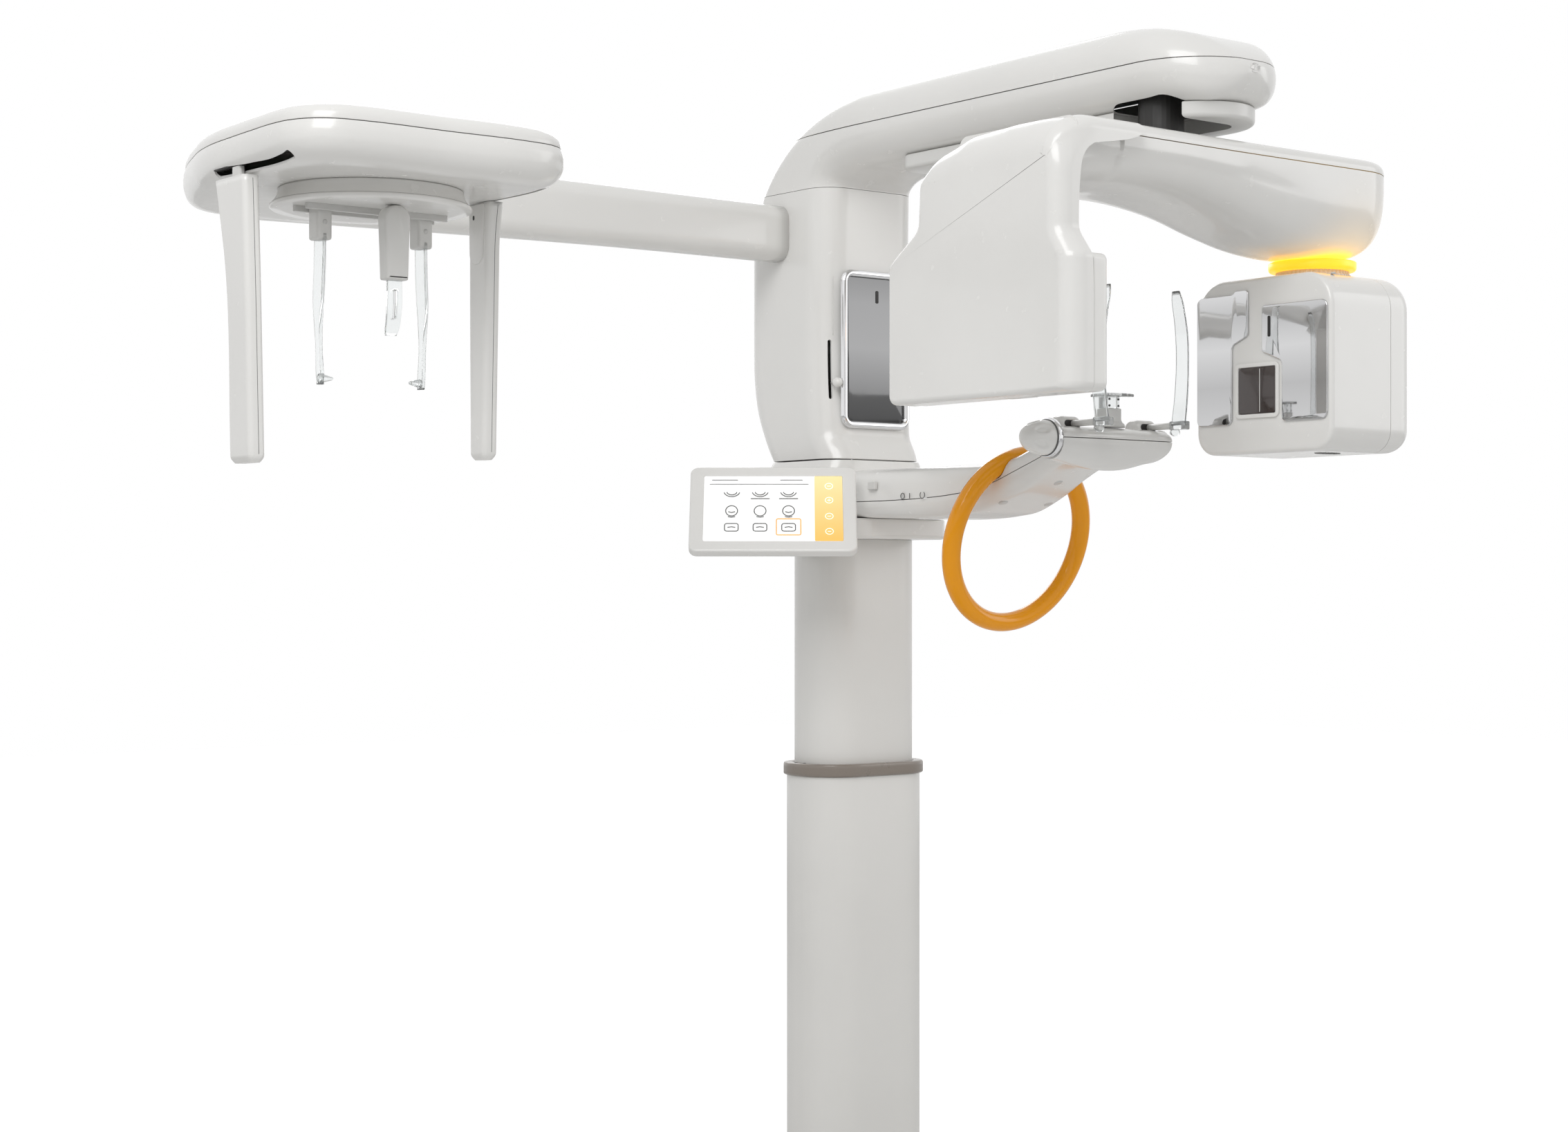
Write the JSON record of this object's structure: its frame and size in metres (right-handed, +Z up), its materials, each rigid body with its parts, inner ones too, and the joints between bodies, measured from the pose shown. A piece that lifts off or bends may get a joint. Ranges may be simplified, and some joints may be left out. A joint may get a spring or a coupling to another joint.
{
  "type": "panoramic dental x-ray machine",
  "caption": "Floor-standing panoramic dental x-ray unit: lifting column, rotating gantry over a chin support, touch screen, round handle and a side arm for skull imaging.",
  "frame": {"origin": "on the floor plane, on the axis of the lifting column", "axes": "+Z up; the patient side, with the upper and lower arms, is -Y; the cephalometric arm reaches to -X; the gantry beam lies along X with the tube head at +X"},
  "size_m": [1.7873, 1.223, 2.055],
  "materials": {
    "white_shell": "gloss",
    "painted_aluminium": "gloss paint",
    "painted_steel": "satin paint",
    "grey_plastic": "satin",
    "taupe_trim": "satin",
    "steel": "machined",
    "aluminium": "machined",
    "chrome": "polished",
    "mirror": "polished",
    "amber_gloss": "gloss",
    "amber_light": "diffusing",
    "clear_acrylic": "polished clear",
    "dark_window": "gloss",
    "display_glass": "gloss glass",
    "red_plastic": "gloss"
  },
  "bodies": {
    "stand": {"base_plate": "painted_steel", "base_cover": "white_shell", "column_outer": "painted_aluminium", "column_ring": "taupe_trim", "lift_actuator": "aluminium"},
    "lift": {"column_inner": "painted_aluminium", "actuator_rod": "steel", "column_collar": "white_shell", "carriage_block": "white_shell", "carriage_rear_cover": "white_shell", "carriage_front_cover": "white_shell", "mirror_frame": "chrome", "mirror_glass": "mirror", "arm_top_cover": "white_shell", "arm_bottom_cover": "white_shell", "arm_underplate": "grey_plastic", "arm_frame": "aluminium", "lower_arm_top_cover": "white_shell", "lower_arm_bottom_cover": "white_shell", "handle_ring": "amber_gloss", "chin_housing_upper": "white_shell", "chin_housing_lower": "white_shell", "chin_pillar": "grey_plastic", "chin_rest": "clear_acrylic", "screen_mount": "white_shell", "ceph_arm": "painted_aluminium", "ceph_cap_lower": "white_shell", "ceph_cap_upper": "white_shell"},
    "laser_slider": {"laser_knob": "white_shell"},
    "stage_y": {"cross_slide_y": "aluminium"},
    "stage_x": {"cross_slide_x": "steel"},
    "gantry": {"gantry_shaft": "dark_window", "beam_top_cover": "white_shell", "beam_bottom_cover": "white_shell", "detector_outer_shell": "white_shell", "detector_inner_shell": "white_shell", "detector_panel": "aluminium", "neck_light_ring": "amber_light"},
    "tube_head": {"tube_neck": "white_shell", "tube_front_shell": "white_shell", "tube_rear_shell": "white_shell", "tube_mirror_left": "mirror", "tube_mirror_right": "mirror", "beam_window": "dark_window", "xray_tube": "steel"},
    "temple_dial": {"temple_knob": "white_shell"},
    "temple_left": {"temple_left_blade": "clear_acrylic"},
    "temple_right": {"temple_right_blade": "clear_acrylic"},
    "power_rocker": {"power_switch": "grey_plastic"},
    "stop_button": {"emergency_stop": "red_plastic"},
    "screen_swivel": {"screen_bracket": "grey_plastic"},
    "screen": {"screen_body": "white_shell", "screen_display": "display_glass"},
    "ceph_holder": {"ceph_hub": "white_shell"},
    "ear_left": {"ear_left_arm": "clear_acrylic"},
    "ear_right": {"ear_right_arm": "clear_acrylic"},
    "nasion": {"nasion_body": "white_shell"},
    "nasion_piece": {"nasion_tip": "clear_acrylic"},
    "ceph_sensor_panel": {"ceph_sensor": "white_shell"},
    "ceph_collimator_panel": {"ceph_collimator": "white_shell"}
  },
  "joints": [
    {"name": "column_lift", "type": "slide", "parent": "stand", "child": "lift", "axis": [0, 0, 1], "range_m": [-0.33, 0.24]},
    {"name": "laser_knob_slide", "type": "slide", "parent": "lift", "child": "laser_slider", "axis": [0, 0, 1], "range_m": [-0.018, 0.066]},
    {"name": "stage_y_slide", "type": "slide", "parent": "lift", "child": "stage_y", "axis": [0, 1, 0], "range_m": [-0.03, 0.03]},
    {"name": "stage_x_slide", "type": "slide", "parent": "stage_y", "child": "stage_x", "axis": [1, 0, 0], "range_m": [-0.01, 0.06]},
    {"name": "gantry_rotation", "type": "hinge", "parent": "stage_x", "child": "gantry", "pos_m": [-0.05, -0.8, 1.9], "axis": [0, 0, 1], "range_deg": [-190, 20]},
    {"name": "tube_head_turn", "type": "hinge", "parent": "gantry", "child": "tube_head", "pos_m": [0.3, -0.8, 1.722], "axis": [0, 0, 1], "range_deg": [-40, 0]},
    {"name": "temple_knob_turn", "type": "hinge", "parent": "lift", "child": "temple_dial", "pos_m": [-0.1303, -0.64, 1.432], "axis": [1, 0, 0], "range_deg": [-60, 60]},
    {"name": "temple_left_slide", "type": "slide", "parent": "lift", "child": "temple_left", "axis": [1, 0, 0], "range_m": [-0.0127, 0.0127]},
    {"name": "temple_right_slide", "type": "slide", "parent": "lift", "child": "temple_right", "axis": [1, 0, 0], "range_m": [-0.0127, 0.0127]},
    {"name": "power_rocker_tilt", "type": "hinge", "parent": "lift", "child": "power_rocker", "pos_m": [-0.1062, -0.18, 1.372], "axis": [0, 1, 0], "range_deg": [-4, 4]},
    {"name": "emergency_stop_press", "type": "slide", "parent": "lift", "child": "stop_button", "axis": [1, 0, 0], "range_m": [-0.003, 0], "stiffness_N_per_m": 2000},
    {"name": "screen_turn", "type": "hinge", "parent": "lift", "child": "screen_swivel", "pos_m": [-0.26085, -0.10189, 1.28272], "axis": [0, 0, 1], "range_deg": [-45, 5]},
    {"name": "screen_tilt", "type": "hinge", "parent": "screen_swivel", "child": "screen", "pos_m": [-0.26085, -0.10189, 1.31272], "axis": [0.788, -0.6157, 0], "range_deg": [-25, 15]},
    {"name": "ceph_holder_turn", "type": "hinge", "parent": "lift", "child": "ceph_holder", "pos_m": [-1.155, -0.33, 1.757], "axis": [0, 0, 1], "range_deg": [-90, 90]},
    {"name": "ear_left_slide", "type": "slide", "parent": "ceph_holder", "child": "ear_left", "axis": [1, 0, 0], "range_m": [-0.03, 0.03]},
    {"name": "ear_right_slide", "type": "slide", "parent": "ceph_holder", "child": "ear_right", "axis": [1, 0, 0], "range_m": [-0.03, 0.03]},
    {"name": "nasion_slide", "type": "slide", "parent": "ceph_holder", "child": "nasion", "axis": [0, 1, 0], "range_m": [-0.02, 0.03]},
    {"name": "nasion_piece_slide", "type": "slide", "parent": "nasion", "child": "nasion_piece", "axis": [0, 0, 1], "range_m": [-0.03, 0.003]},
    {"name": "ceph_sensor_scan", "type": "slide", "parent": "lift", "child": "ceph_sensor_panel", "axis": [0, 1, 0], "range_m": [-0.14, 0.05]},
    {"name": "ceph_collimator_scan", "type": "slide", "parent": "lift", "child": "ceph_collimator_panel", "axis": [0, 1, 0], "range_m": [-0.14, 0.05]}
  ],
  "couplings": [
    {"joint": "temple_left_slide", "follows": "temple_knob_turn", "m_per_rad": 0.012},
    {"joint": "temple_right_slide", "follows": "temple_knob_turn", "m_per_rad": -0.012},
    {"joint": "ear_right_slide", "follows": "ear_left_slide", "ratio": -1},
    {"joint": "ceph_collimator_scan", "follows": "ceph_sensor_scan", "ratio": 1}
  ]
}
